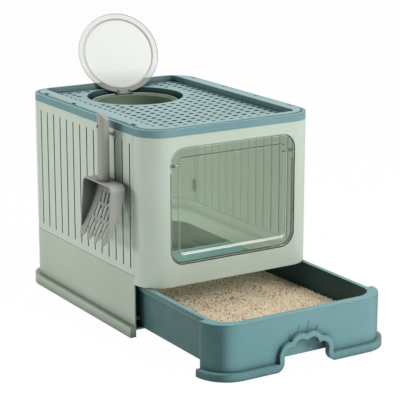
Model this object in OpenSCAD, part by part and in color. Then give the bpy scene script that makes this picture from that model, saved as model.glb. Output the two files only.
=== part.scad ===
// Drawer litter box with a top entry, a front flap, a pull-out tray and a hung scoop.
// Body frame: X runs left to right from the middle of the body, Y runs back from its
// front face and Z runs up from the ground. Every sub-part is drawn where it rests.

/* [Body] */
// Width across the side faces
body_w = 378; // [350:1:420]
// Depth from the front face to the back face
body_d = 500; // [470:1:540]
// Height of the top edge of the walls
body_h = 392; // [384:1:430]
// Radius of the four upright corners
corner_r = 52; // [46:1:58]
// Thickness of the moulded walls
wall = 2.8; // [2.4:0.1:3.2]

/* [Base] */
// Height at which the base ends and the panels begin
base_h = 121; // [117:1:128]
// Reach of the foot beyond the walls
foot_out = 9.6; // [7:0.2:12]
// Height of the foot of the base
foot_h = 19.7; // [17:0.1:23]
// Height of the upper face of the base floor
floor_z = 17; // [14:0.5:19]
// Height of the drawer guides above the floor
rail_lift = 13; // [8:1:20]
// Height of each drawer guide
rail_h = 6; // [4:0.5:9]
// Depth of the stiffening ribs below the floor
floor_rib_h = 8; // [5:0.5:10]

/* [Panels] */
// Spacing of the upright grooves
groove_pitch = 28.4; // [24:0.2:34]
// Width of a groove
groove_w = 4; // [3:0.2:6]
// Depth of a groove
groove_depth = 2; // [1.2:0.1:2.2]
// Height of the lower end of the grooves
groove_z0 = 134.5; // [133:0.5:145]
// Distance from the upper end of the grooves to the top edge
groove_top = 16; // [15:0.5:26]
// Distance from a panel seam to the nearest groove
groove_edge = 13.4; // [12:0.2:20]

/* [Window] */
// Height of the lower edge of the front frame
front_z = 105; // [104.5:0.5:108]
// Width of the window opening
window_w = 280; // [250:1:290]
// Height of the lower edge of the opening
window_z = 145; // [135:1:155]
// Distance from the opening to the top edge of the walls
window_top = 21.4; // [18:0.2:40]
// Corner radius of the opening
window_r = 30; // [24:1:36]
// Depth of the return round the opening
return_d = 10; // [8:0.5:14]

/* [Door] */
// Gap between the door and its opening
door_gap = 2.5; // [2.2:0.1:3.5]
// Thickness of the clear door
door_t = 2.6; // [2:0.1:3]
// Width of the flat border of the door
door_border = 17; // [14:0.5:24]
// Width of the sloped step inside the border
door_step_w = 3; // [2:0.2:5]
// Set-back of the middle of the door
door_step_d = 3.4; // [2:0.2:5]
// Distance from the top of the door to its hinge axis
hinge_drop = 32; // [30:0.5:38]

/* [Top] */
// Height of the teal band above the walls
band_h = 14.5; // [13:0.1:18]
// Height of the raised rim above the band
rim_rise = 2.2; // [1.6:0.1:3]
// Width of the rim along the sides
rim_side = 34; // [30:0.5:38]
// Width of the rim along the front
rim_end = 20; // [18:0.5:21]
// Width of the rim along the back
rim_back = 15; // [14.5:0.5:17]
// Depth of the step recess below the rim
recess_d = 12.7; // [10:0.1:13]
// Radius of the recess's corners
recess_r = 14; // [10:1:20]
// Spacing of the perforations
hole_pitch = 20.9; // [20:0.1:26]
// Diameter of a perforation
hole_d = 11; // [8:0.5:12]

/* [Entry] */
// Radius of the entry well in the step plate
well_r = 99.5; // [98.5:0.5:101]
// Distance from the body's back face to the middle of the well
well_back = 123; // [121:0.5:130]
// Depth of the collar's rim below the steps
collar_drop = 13; // [11:0.5:16]
// Outer radius of the collar's rim
collar_r = 92.3; // [90.5:0.1:93]
// Outer radius of the collar's sleeve
sleeve_r = 83; // [78:0.5:84]
// Length of the sleeve below the rim
sleeve_l = 48; // [36:1:60]

/* [Lid] */
// Radius of the clear lid
lid_r = 87; // [85:0.1:88]
// Thickness of the lid
lid_t = 2.4; // [2:0.1:2.8]
// Width of the flat border of the lid
lid_border = 11; // [9:0.5:14]
// Rise of the middle of the lid above its border
lid_rise = 2.4; // [1.6:0.1:2.8]
// Turn of the hinge from straight back towards the right
lid_turn = 13; // [-20:1:20]
// Lean of the open lid beyond upright
lid_lean = 25; // [12:1:25]

/* [Drawer] */
// Distance by which the drawer stands open
drawer_pull = 237; // [0:1:300]
// Distance by which the drawer's face stands proud of the walls
face_out = 2.2; // [0:0.1:3]
// Height of the drawer's rim
drawer_rim_z = 103.3; // [101:0.1:103.5]
// Width of the rim along the sides, from the tray's edge to the lip
drawer_rim_side = 8.6; // [7:0.2:12]
// Width of the rim across the front
drawer_rim_front = 14.7; // [12:0.1:20]
// Depth from the drawer's face to its rear lip
drawer_d = 447; // [420:1:455]
// Depth of the lip round the rim
lip_h = 10; // [6:0.5:14]
// Inward lean of the tray's walls over their height
tray_draft = 2; // [1:0.5:6]
// Corner radius of the tray
tray_r = 40; // [30:1:46]
// Height of the foot along the drawer's face
drawer_foot_h = 15; // [13:0.1:20]
// Reach of that foot beyond the face
drawer_foot_out = 8.8; // [7:0.1:11]
// Height of the drawer's face above the ground
ground_gap = 0.6; // [0.5:0.1:2]

/* [Finger notch] */
// Half of the width of the notch at the ground
notch_half = 67; // [64:1:72]
// Offset of the notch from the middle of the drawer
notch_shift = -2.4; // [-4:0.1:4]
// Radius of the flare at the ground
flare_r = 18; // [14:1:20]
// Height of the two inner lobes
lobe_in_z = 55.2; // [50:0.5:60]
// Height of the two outer lobes
lobe_out_z = 42.7; // [38:0.5:46]
// Radius of the inner lobes
lobe_in_r = 15; // [13:0.5:16]
// Radius of the outer lobes
lobe_out_r = 14.5; // [12:0.5:16]
// Width of the raised border round the notch
notch_border = 10; // [7:0.5:12]

/* [Litter] */
// Depth of the litter in the tray
litter_depth = 30; // [15:1:50]
// Height of the swells in the litter
litter_swell = 2.4; // [0.5:0.1:4]
// Rise of the litter towards the drawer's front right corner
litter_rise = 5; // [0:0.5:8]

/* [Scoop] */
// Width of the basket
basket_w = 112; // [100:1:120]
// Distance from the top edge of the walls down to the basket's upper edge
basket_drop = 95; // [88:1:106]
// Length of the basket from its upper edge to the tips
basket_l = 116; // [105:1:125]
// Distance from the body to the back of the basket
basket_gap = 11; // [9:0.5:14]
// Depth of the basket at its upper edge
basket_depth = 30; // [25:0.5:34]
// Forward sweep of the floor at the tips
basket_sweep = 43; // [36:0.5:46]
// Thickness of the scoop's walls
scoop_t = 2.4; // [2:0.1:3]
// Distance from the body's front face to the middle of the scoop
scoop_y = 119; // [117:0.5:135]
// Number of teeth
teeth = 4; // [3:1:6]
// Length of the teeth
tooth_l = 14; // [10:0.5:18]
// Spacing of the slots
slot_pitch = 13; // [11:0.5:15]
// Width of a slot
slot_w = 6; // [4:0.5:7]
// Width of the handle
handle_w = 30; // [26:0.5:34]
// Depth of the handle
handle_depth = 15; // [12:0.5:17]
// Distance from the body to the back of the handle
handle_gap = 21; // [19:0.5:24]
// Length of the handle above the basket
handle_l = 130; // [126:1:136]
// Offset of the hanging hole from the handle's middle
hang_shift = 5; // [0:0.5:6]
// Distance from the handle's end to the hanging hole
hang_drop = 27; // [24:0.5:30]

/* [Fasteners] */
// Length of a snap clip's head
clip_l = 16; // [12:0.5:20]
// Width of a snap clip's head
clip_w = 4.4; // [3.6:0.2:5]
// Distance from the side faces to the middle of the clips
clip_in = 12.8; // [12.6:0.2:14]
// Distance from the front face to the first clip
clip_y0 = 70; // [64:1:80]
// Spacing of the clips
clip_pitch = 120; // [100:1:122]
// Diameter of the lid's hinge pin
lid_pin_d = 3; // [2.4:0.1:3.4]
// Diameter of the door's hinge pins
door_pin_d = 2.4; // [2:0.1:2.6]
// Diameter of the scoop's peg
peg_d = 5; // [4:0.5:6]
// Rise of the scoop's peg above level
peg_rise = 30; // [20:1:35]
// Height of a seam clip
seam_clip_h = 26; // [18:1:34]

/* [Fits] */
// Clearance between parts that are pushed together
fit = 0.2; // [0.1:0.05:0.3]
// Clearance between parts that slide on each other
slide_gap = 0.3; // [0.2:0.05:0.5]
// Radial clearance of a turning pin
pin_gap = 0.08; // [0.05:0.01:0.1]
// Radial clearance of a pin that is pressed in
press_gap = 0.02; // [0.01:0.01:0.04]

/* [Hidden] */

sage = "#c3d2c5";
teal = "#6d9ba2";
cream = "#c9d1c0";
smoke = "#9fb3a6";
clear = "#dfe8e6";
grey = "#9c9c95";
steel = "#b9bdc0";
litter_tan = "#d0bb95";

$fn = 64;
// Steps in a quarter turn of a large, a middling and a small corner
seg = 12;
seg_mid = 8;
seg_small = 4;
// Overlap of joined shapes and overrun of cuts
joint = 0.5;
over = 1;

half_w = body_w / 2;
seam_front = corner_r;
seam_back = body_d - corner_r;

// Litter guard: a shelf, an upstand behind the panels and a hook on the base
guard_t = 2.5;
guard_z = drawer_rim_z + 1.5;
guard_side = 65;
guard_back = 92;
guard_front_gap = 4;
tongue_t = 2;
tongue_h = 8;
hook_t = 1.6;
hook_w = 1.4;

// Seam laps, their ribs and the clips that straddle them
lap_w = groove_edge - groove_w / 2 - wall - fit;
lap_t = 2;
lap_z0 = base_h + tongue_h + 2;
lap_z1 = body_h - tongue_h - 4;
seam_line = 0.8;
seam_line_d = 0.9;
seam_rib_t = 2;
seam_rib_reach = 7;
seam_rib_gap = 0.2;
seam_clip_t = 1.6;
seam_clip_z = [lap_z0 + 24, lap_z1 - 24 - seam_clip_h];

// Window, door and hinge
window_z1 = body_h - window_top;
return_t = 2.4;
stop_in = 5;
stop_t = 2;
door_y = 0.6;
door_half = window_w / 2 - door_gap;
door_z0 = window_z + door_gap;
door_z1 = window_z1 - door_gap;
door_r = window_r - door_gap;
hinge_z = door_z1 - hinge_drop;
barrel_r = door_pin_d / 2 + 1.4;
boss_r = door_pin_d / 2 + 2;
hinge_y = door_y + door_t + slide_gap + boss_r;
barrel_half = door_half - 11.5;
barrel_l = 12;
boss_gap = 1;
boss_l = 15;
door_pin_in = 10;

// Top frame and step plate
ledge_t = 2.4;
band_t = 7;
band_gap = 1.3;
plate_in = band_t + band_gap;
plate_t = 2.5;
ledge_w = min(rim_end, rim_back) - plate_t - fit;
plate_z0 = body_h + ledge_t;
rim_z = body_h + band_h + rim_rise;
step_z = rim_z - recess_d;
rim_round = 4;
well_y = body_d - well_back;
hole_margin = 2;
hole_sides = 8;
well_margin = 3;
ledge_side = clip_in + clip_w / 2 + fit + 3;

// Entry collar, lid and their hinge
collar_z = step_z - collar_drop;
collar_t = 3.5;
sleeve_t = 2.5;
seat_t = 2.5;
seat_in = 7;
axis_h = 3.6;
lid_gap = 0.3;
axis_u = lid_r + 0.4;
axis_z = collar_z + axis_h;
knuckle_half = 9.6;
ear_gap = 0.3;
ear_t = 5;
ear_r = lid_pin_d / 2 + 1.9;
ear_sweep = norm([ear_r, axis_h]) + 2 * lid_gap;
horn_h = 8.5;
lid_open = 90 + lid_lean;
lid_bottom = -axis_h + lid_gap;

// Drawer and tray
tray_z = floor_z + slide_gap;
drawer_lip_in = 9.4;
lip_t = 2;
rim_t = 3;
drawer_lip_x = half_w - drawer_lip_in;
tray_x = drawer_lip_x - drawer_rim_side;
tray_y1 = drawer_d - drawer_rim_side;
tray_t = wall;
face_t = wall + 0.4;
closed_gap = 0.4;
mark_w = 1.8;
mark_depth = 0.9;
mark_lean = 11;
// Creases over the notch: offset from its middle, height above its border and length
marks = [[-35.5, -9, 10], [-15.5, 5, 8], [4.5, 3, 16], [24.5, -3, 10]];

// Scoop, worked out along its height from the tips up
basket_top = body_h - basket_drop;
tip_z = basket_top - basket_l;
sweep_power = 1.6;
floor_steps = 14;
basket_r = 12;
rim_splay = 6;
rim_join_z = tip_z + tooth_l + 2;
handle_top = basket_top + handle_l;
hang_z = handle_top - hang_drop;
hang_out = handle_gap + handle_depth - scoop_t / 2;
hang_y = scoop_y + hang_shift;
peg_end = 4;
peg_base_r = 7;
peg_base_t = 1.6;
hang_clear = 0.3;
bow_power = 0.55;

// How far back the rim of the open lid comes
lid_back_offset = (lid_gap + lid_t - axis_h) * cos(lid_lean) * cos(lid_turn);
lid_back_swing = lid_r * norm([sin(lid_lean) * cos(lid_turn), sin(lid_turn)]);
lid_back = well_y + axis_u * (1 + sin(lid_lean)) * cos(lid_turn) + lid_back_swing + lid_back_offset;

// The resting object reaches this far from the body frame's origin on each side
left_reach = half_w + basket_gap + basket_sweep + scoop_t;
right_reach = half_w + max(foot_out, face_out + drawer_foot_out);
front_reach = drawer_pull + face_out + drawer_foot_out;
back_reach = max(body_d + foot_out, lid_back);
far = 2 * body_d;

// Moves the body frame so that the whole resting object is centred on the origin
module at_body() {
    translate([(left_reach - right_reach) / 2, (front_reach - back_reach) / 2, 0])
        children();
}

// Points along an arc, both ends included
function arc(cx, cy, r, a0, a1, n) =
    [for (i = [0:n]) let (a = a0 + (a1 - a0) * i / n) [cx + r * cos(a), cy + r * sin(a)]];

// Outline of a rounded rectangle that is centred across and runs from v0 to v1
function plan(half, v0, v1, r0, r1, n) = concat(
    arc(half - r0, v0 + r0, r0, -90, 0, n),
    arc(half - r1, v1 - r1, r1, 0, 90, n),
    arc(r1 - half, v1 - r1, r1, 90, 180, n),
    arc(r0 - half, v0 + r0, r0, 180, 270, n)
);

// Outline of an upright slot with round ends
function slot(u, w, v0, v1, n) = concat(
    arc(u, v0 + w / 2, w / 2, 180, 360, n),
    arc(u, v1 - w / 2, w / 2, 0, 180, n)
);

// Extrudes a plan between two heights
module prism(z0, z1) {
    translate([0, 0, z0])
        linear_extrude(z1 - z0)
            children();
}

// Extrudes an elevation, drawn in X and Z, back from y0
module upright(y0, t) {
    translate([0, y0 + t, 0])
        rotate([90, 0, 0])
            linear_extrude(t)
                children();
}

// Extrudes a side view, drawn in Y and Z, to the right from x0
module sideways(x0, t) {
    translate([x0, 0, 0])
        rotate([90, 0, 90])
            linear_extrude(t)
                children();
}

// The body's outline drawn in by an inset
module body_outline(inset) {
    polygon(plan(half_w - inset, inset, body_d - inset, corner_r - inset, corner_r - inset, seg));
}

// The band between two insets of the body's outline, kept from y0 to y1
module wall_band(outer, inner, y0, y1) {
    intersection() {
        difference() {
            body_outline(outer);
            body_outline(inner);
        }
        translate([-far / 2, y0])
            square([far, y1 - y0]);
    }
}

// The part of a plan from y0 to y1
module keep(y0, y1) {
    intersection() {
        children();
        translate([-far / 2, y0])
            square([far, y1 - y0]);
    }
}

// Half-width of the outside of the tray at a height
function tray_outside(z) =
    tray_x + tray_t - tray_draft * (drawer_rim_z - z) / (drawer_rim_z - tray_z);

module base_frame() {
    rail_z = floor_z + rail_lift;
    rail_x = tray_outside(rail_z + rail_h) + 2 * slide_gap;
    rail_w = half_w - wall / 2 - rail_x;
    color(sage) at_body() difference() {
        union() {
            prism(0, base_h)
                wall_band(0, wall, seam_front, far);
            prism(0, foot_h)
                wall_band(-foot_out, -foot_out + wall, seam_front, far);
            prism(foot_h - wall, foot_h)
                wall_band(-foot_out, wall / 2, seam_front, far);
            prism(0, foot_h)
                wall_band(-foot_out, wall / 2, seam_front, seam_front + wall);
            prism(floor_z - wall, floor_z)
                keep(seam_front, far)
                    body_outline(wall / 2);
            for (i = [-1:1])
                prism(floor_z - wall - floor_rib_h, floor_z - joint)
                    translate([i * half_w / 2 - wall / 2, seam_front])
                        square([wall, body_d - seam_front - wall / 2]);
            for (i = [1:3])
                prism(floor_z - wall - floor_rib_h, floor_z - joint)
                    translate([wall / 2 - half_w, seam_front + i * (seam_back - seam_front) / 4])
                        square([body_w - wall, wall]);
            for (s = [-1, 1])
                prism(rail_z, rail_z + rail_h)
                    translate([s > 0 ? rail_x : -rail_x - rail_w, seam_front + 10])
                        square([rail_w, seam_back - seam_front - 10]);
        }
        prism(base_h - hook_t, base_h + over)
            wall_band(wall - hook_w, wall + over, 0, far);
        prism(foot_h, foot_h + 1.4)
            wall_band(-over, 0.7, 0, far);
        prism(base_h - seam_line, base_h + over)
            wall_band(-over, seam_line_d, 0, far);
    }
}

// Shelf that leads stray litter back into the tray
module litter_guard() {
    y0 = seam_front + guard_front_gap;
    color(sage) at_body() union() {
        prism(guard_z, guard_z + guard_t)
            difference() {
                keep(y0, far)
                    body_outline(wall + fit);
                polygon(plan(half_w - guard_side, -body_d, body_d - guard_back, over, tray_r, seg));
            }
        prism(guard_z, base_h + tongue_h)
            wall_band(wall + fit, wall + fit + tongue_t, y0, far);
        prism(base_h - hook_t, base_h)
            wall_band(wall - hook_w + fit, wall + fit + joint, y0, far);
    }
}

// Backing of a panel seam, fused to the piece whose wall it continues
module seam_lap(root0, root1, lap0, lap1) {
    prism(lap_z0, lap_z1)
        wall_band(wall - joint, wall + fit + lap_t, root0, root1);
    prism(lap_z0, lap_z1)
        wall_band(wall + fit, wall + fit + lap_t, lap0, lap1);
}

// Upright rib that a seam clip straddles, at a distance along the side
module seam_rib(y, root) {
    prism(lap_z0, lap_z1)
        for (s = [-1, 1])
            translate([s > 0 ? half_w - seam_rib_reach - wall : wall - half_w + root, y])
                square([seam_rib_reach - root, seam_rib_t]);
}

// Opening shape of the window, grown by a margin
module window_outline(grow) {
    polygon(plan(window_w / 2 + grow, window_z - grow, window_z1 + grow,
        window_r + grow, window_r + grow, seg_mid));
}

// Outline of the door, drawn in by a margin
module door_outline(inset) {
    polygon(plan(door_half - inset, door_z0 + inset, door_z1 - inset,
        max(door_r - inset, 4), max(door_r - inset, 4), seg_mid));
}

// Walls of the front frame with the window cut through them
module front_walls() {
    difference() {
        prism(front_z, body_h)
            wall_band(0, wall, -over, seam_front);
        upright(-over, over + door_y + door_t + slide_gap)
            window_outline(0);
    }
    prism(front_z, front_z + wall)
        wall_band(wall / 2, wall + 8, -over, seam_front);
    seam_lap(seam_front - lap_w, seam_front, seam_front - joint, seam_front + lap_w);
    seam_rib(seam_front + lap_w - seam_rib_t, joint);
}

// Return round the opening and the lip that the closed door rests on
module window_return() {
    upright(wall / 2, return_d - wall / 2)
        difference() {
            window_outline(return_t);
            window_outline(0);
        }
    upright(door_y + door_t + slide_gap, stop_t)
        difference() {
            window_outline(return_t / 2);
            window_outline(-stop_in);
            translate([-window_w, hinge_z - window_r / 2])
                square([2 * window_w, 2 * window_r]);
        }
}

// Round bar along the door's hinge axis, the same on both sides
module hinge_bars(from, length, r) {
    for (s = [-1, 1])
        translate([s * (from + length / 2), hinge_y, hinge_z])
            rotate([0, 90, 0])
                cylinder(h = length, r = r, center = true);
}

module front_frame() {
    color(sage) at_body() difference() {
        union() {
            front_walls();
            window_return();
            hinge_bars(barrel_half + boss_gap, boss_l, boss_r);
        }
        hinge_bars(barrel_half, boss_l - 2 * over, door_pin_d / 2 + press_gap);
    }
}

// Grooves on the outside of a flat wall, as slots in the wall's own elevation
module groove_slots(first, last, z1) {
    count = floor((last - first) / groove_pitch + 0.01);
    start = (first + last - count * groove_pitch) / 2;
    for (i = [0:count])
        polygon(slot(start + i * groove_pitch, groove_w, groove_z0, z1, seg_small));
}

// The same grooves seen from inside, where the wall keeps its thickness
module groove_ribs(first, last, z1) {
    rib_w = groove_w + 2 * wall;
    count = floor((last - first) / groove_pitch + 0.01);
    start = (first + last - count * groove_pitch) / 2;
    for (i = [0:count])
        polygon(slot(start + i * groove_pitch, rib_w, groove_z0 - wall, z1 + wall, seg_small));
}

// Side panel on the left for s = -1 and on the right for s = 1
module side_panel(s) {
    first = seam_front + groove_edge;
    last = seam_back - groove_edge;
    z1 = body_h - groove_top;
    rib_in = seam_rib_gap + seam_front + lap_w;
    difference() {
        union() {
            prism(base_h, body_h)
                translate([s > 0 ? half_w - wall : -half_w, seam_front])
                    square([wall, seam_back - seam_front]);
            sideways(s > 0 ? half_w - wall - groove_depth : -half_w + wall - joint, groove_depth + joint)
                groove_ribs(first, last, z1);
            for (y = [rib_in, body_d - rib_in - seam_rib_t])
                prism(lap_z0, lap_z1)
                    translate([s > 0 ? half_w - seam_rib_reach - wall : wall - half_w - joint, y])
                        square([seam_rib_reach + joint, seam_rib_t]);
        }
        sideways(s > 0 ? half_w - groove_depth : -half_w - over, groove_depth + over)
            groove_slots(first, last, z1);
        for (y = [seam_front - over, seam_back - seam_line])
            prism(base_h - over, body_h + over)
                translate([s > 0 ? half_w - seam_line_d : -half_w - over, y])
                    square([seam_line_d + over, seam_line + over]);
    }
}

module side_panel_left() {
    color(sage) at_body() side_panel(-1);
}

module side_panel_right() {
    color(sage) at_body() side_panel(1);
}

module back_panel() {
    reach = half_w - corner_r - groove_edge;
    z1 = body_h - groove_top;
    rib_y = seam_back - lap_w;
    color(sage) at_body() difference() {
        union() {
            prism(base_h, body_h)
                wall_band(0, wall, seam_back, far);
            seam_lap(seam_back, seam_back + lap_w, seam_back - lap_w, seam_back + joint);
            seam_rib(rib_y, joint);
            upright(body_d - wall - groove_depth, groove_depth + joint)
                groove_ribs(-reach, reach, z1);
        }
        upright(body_d - groove_depth, groove_depth + over)
            groove_slots(-reach, reach, z1);
    }
}

// Middles of the clips along one side
function clip_places() = [for (i = [0:3]) clip_y0 + i * clip_pitch];

// Notches for the clips on both sides, as a plan
module clip_plan(grow) {
    for (s = [-1, 1], y = clip_places())
        translate([s * (half_w - clip_in), y])
            square([clip_w + 2 * grow, clip_l + 2 * grow], center = true);
}

module top_frame() {
    color(teal) at_body() difference() {
        union() {
            prism(body_h, body_h + band_h)
                wall_band(0, band_t, -over, far);
            prism(body_h, body_h + ledge_t)
                difference() {
                    body_outline(band_t - joint);
                    polygon(plan(half_w - ledge_side, ledge_w, body_d - ledge_w,
                        ledge_side, ledge_side, seg_mid));
                }
            prism(body_h - tongue_h, body_h + joint)
                wall_band(wall + fit, wall + fit + tongue_t, -over, far);
        }
        prism(body_h - over, plate_z0 + over)
            clip_plan(fit);
    }
}

// Outline of the step recess, grown by a margin
module recess_outline(grow) {
    polygon(plan(half_w - rim_side + grow, rim_end - grow, body_d - rim_back + grow,
        recess_r + grow, recess_r + grow, seg));
}

// True where a perforation keeps clear of the recess edge and of the well
function hole_fits(x, y) =
    abs(x) < half_w - rim_side - hole_d / 2 - hole_margin
    && abs(y - body_d / 2) < body_d / 2 - rim_end - hole_d / 2 - hole_margin
    && norm([x, y - well_y]) > well_r + plate_t + hole_d / 2 + well_margin
    && norm([max(abs(x) - half_w + rim_side + recess_r, 0),
        max(abs(y - body_d / 2) - body_d / 2 + rim_end + recess_r, 0)])
        < recess_r - hole_d / 2 - hole_margin / 2;

// Square lattice of perforations
module perforations() {
    across = floor(half_w / hole_pitch);
    along = floor(body_d / 2 / hole_pitch);
    for (i = [-across:across], j = [-along - 1:along])
        let (x = i * hole_pitch, y = body_d / 2 + (j + 0.5) * hole_pitch)
            if (hole_fits(x, y))
                translate([x, y])
                    rotate(180 / hole_sides)
                        circle(d = hole_d, $fn = hole_sides);
}

module step_plate() {
    color(teal) at_body() difference() {
        union() {
            difference() {
                hull() {
                    prism(plate_z0, rim_z - rim_round)
                        body_outline(plate_in);
                    prism(plate_z0, rim_z - rim_round / 3)
                        body_outline(plate_in + rim_round / 4);
                    prism(plate_z0, rim_z)
                        body_outline(plate_in + rim_round);
                }
                prism(plate_z0 - over, rim_z - plate_t)
                    body_outline(plate_in + plate_t);
                prism(plate_z0 - over, rim_z + over)
                    recess_outline(0);
            }
            prism(step_z - plate_t, rim_z - plate_t + joint)
                difference() {
                    recess_outline(plate_t);
                    recess_outline(0);
                }
            prism(step_z - plate_t, step_z)
                difference() {
                    recess_outline(joint);
                    perforations();
                }
            translate([0, well_y, collar_z - collar_t - seat_t])
                cylinder(h = step_z - collar_z + collar_t + seat_t, r = well_r + plate_t);
            prism(rim_z - plate_t - 5, rim_z - plate_t + joint)
                clip_plan(fit + 1.6);
        }
        translate([0, well_y, collar_z - collar_t])
            cylinder(h = far, r = well_r);
        translate([0, well_y, 0])
            cylinder(h = far, r = well_r - seat_in - fit);
        prism(plate_z0 - over, rim_z + over)
            clip_plan(fit);
    }
}

// Moves to the hinge axis of the lid, with X pointing away from the well's middle
module at_lid_axis() {
    translate([0, well_y, axis_z])
        rotate(90 - lid_turn)
            translate([axis_u, 0, 0])
                children();
}

// Ear of the collar: a rounded lug with a horn that the open lid leans on
module collar_ear() {
    horn_w = horn_h * tan(lid_lean) - (axis_h - lid_gap - lid_t) / cos(lid_lean) + lid_gap;
    horn_base = 4 * tan(lid_lean) - (axis_h - lid_gap - lid_t) / cos(lid_lean) + lid_gap;
    rotate([90, 0, 0])
        linear_extrude(ear_t, center = true)
            union() {
                circle(r = ear_r);
                translate([-ear_r, -axis_h - joint])
                    square([2 * ear_r, axis_h + joint]);
                polygon([[horn_base, 4], [horn_w, horn_h], [horn_w + 2.6, horn_h],
                    [ear_r, 0], [0, 0]]);
            }
}

module entry_collar() {
    ear_t_mid = knuckle_half + ear_gap + ear_t / 2;
    color(cream) at_body() difference() {
        union() {
            translate([0, well_y, 0])
                rotate_extrude($fn = 96)
                    polygon(concat(
                        [[sleeve_r - sleeve_t, collar_z - sleeve_l], [sleeve_r, collar_z - sleeve_l],
                            [sleeve_r, collar_z - collar_t], [collar_r, collar_z - collar_t]],
                        arc(collar_r - 1.2, collar_z - 1.2, 1.2, 0, 90, seg_small),
                        [[sleeve_r - sleeve_t + 1, collar_z], [sleeve_r - sleeve_t, collar_z - 1]]
                    ));
            at_lid_axis()
                for (s = [-1, 1])
                    translate([0, s * ear_t_mid, 0])
                        collar_ear();
        }
        at_lid_axis()
            rotate([90, 0, 0])
                cylinder(h = 4 * knuckle_half, d = lid_pin_d + 2 * press_gap, center = true);
    }
}

module lid_hinge_pin() {
    pin_l = 2 * (knuckle_half + ear_gap + ear_t);
    color(steel) at_body()
        at_lid_axis()
            rotate([90, 0, 0])
                cylinder(h = pin_l, d = lid_pin_d, center = true);
}

module top_lid() {
    pane_r = lid_r - lid_border;
    color(clear, 0.5) at_body()
        at_lid_axis()
            rotate([0, lid_open, 0])
                difference() {
                    union() {
                        translate([-axis_u, 0, lid_bottom])
                            cylinder(h = lid_t, r = lid_r, $fn = 96);
                        translate([-axis_u, 0, lid_bottom])
                            cylinder(h = lid_rise + lid_t, r = pane_r, $fn = 96);
                        rotate([90, 0, 0])
                            cylinder(h = 2 * knuckle_half, r = ear_r, center = true);
                        translate([-lid_border + 2, -knuckle_half, lid_bottom])
                            cube([lid_border - 2, 2 * knuckle_half, -lid_bottom]);
                    }
                    translate([-axis_u, 0, lid_bottom - over])
                        cylinder(h = lid_rise + over, r = pane_r - lid_t, $fn = 96);
                    rotate([90, 0, 0])
                        cylinder(h = 4 * knuckle_half, d = lid_pin_d + 2 * pin_gap, center = true);
                    for (s = [-1, 1])
                        translate([0, s * (knuckle_half + ear_gap + ear_t / 2), 0])
                            rotate([90, 0, 0])
                                cylinder(h = ear_t + 2 * ear_gap, r = ear_sweep, center = true);
                }
}

// Solid block with the door's stepped face, its steps starting at a depth
module door_step(y, inset) {
    hull() {
        upright(y, 0.1)
            door_outline(door_border + inset);
        upright(y + door_step_d, 0.1)
            door_outline(door_border + door_step_w + inset);
    }
}

module front_door() {
    color(smoke, 0.45) at_body() difference() {
        union() {
            upright(door_y, door_t)
                door_outline(0);
            door_step(door_y + door_t - 0.1, -door_t / 2);
            hinge_bars(barrel_half - barrel_l, barrel_l, barrel_r);
            for (s = [-1, 1])
                translate([s * (barrel_half - barrel_l / 2), (door_y + door_t + hinge_y) / 2, hinge_z])
                    cube([barrel_l, hinge_y - door_y - door_t + 2 * joint, barrel_r], center = true);
        }
        translate([0, -0.1, 0])
            door_step(door_y, 0);
        hinge_bars(barrel_half - door_pin_in - over, door_pin_in + 2 * over, door_pin_d / 2 + pin_gap);
    }
}

module door_hinge_pins() {
    color(steel) at_body()
        hinge_bars(barrel_half - door_pin_in, door_pin_in + boss_l - 3 * over, door_pin_d / 2);
}

// Notch under the drawer's face, drawn in elevation with the ground at zero
module notch_outline() {
    inner_x = lobe_in_r - 2.7;
    outer_x = inner_x + lobe_in_r + lobe_out_r - 7;
    side_x = outer_x + lobe_out_r;
    inner_z = lobe_in_z - lobe_in_r;
    outer_z = lobe_out_z - lobe_out_r;
    translate([notch_shift, 0]) {
        for (s = [-1, 1]) {
            translate([s * inner_x, inner_z])
                circle(r = lobe_in_r, $fn = 40);
            translate([s * outer_x, outer_z])
                circle(r = lobe_out_r, $fn = 40);
        }
        polygon(concat(
            [[-notch_half, -over], [notch_half, -over]],
            arc(notch_half, flare_r, flare_r, 270, 180, seg_mid),
            [[side_x, outer_z], [inner_x, lobe_out_z - 1], [inner_x, lobe_in_z - 4],
                [-inner_x, lobe_in_z - 4], [-inner_x, lobe_out_z - 1], [-side_x, outer_z]],
            arc(-notch_half, flare_r, flare_r, 0, -90, seg_mid)
        ));
    }
}

// Tray-shaped block, grown outwards and cut off at two heights
module tray_block(grow, z0, z1) {
    h = drawer_rim_z - tray_z;
    lean0 = tray_draft * (drawer_rim_z - z0) / h;
    lean1 = tray_draft * (drawer_rim_z - z1) / h;
    front = drawer_rim_front - grow;
    back = tray_y1 + grow;
    hull() {
        prism(z0, z0 + 0.01)
            polygon(plan(tray_x - lean0 + grow, front + lean0, back - lean0,
                tray_r + grow - lean0, tray_r + grow - lean0, seg_mid));
        prism(z1 - 0.01, z1)
            polygon(plan(tray_x - lean1 + grow, front + lean1, back - lean1,
                tray_r + grow - lean1, tray_r + grow - lean1, seg_mid));
    }
}

// Plan of the drawer's rim, drawn in by an inset
module rim_outline(inset) {
    face_y1 = seam_front - closed_gap - inset;
    keep(-far, face_y1)
        body_outline(inset - face_out);
    polygon(plan(drawer_lip_x - inset, corner_r, drawer_d - inset, over, tray_r + 4 - inset, seg_mid));
    translate([inset - drawer_lip_x, face_y1 - joint])
        square([2 * (drawer_lip_x - inset), tray_r]);
}

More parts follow.
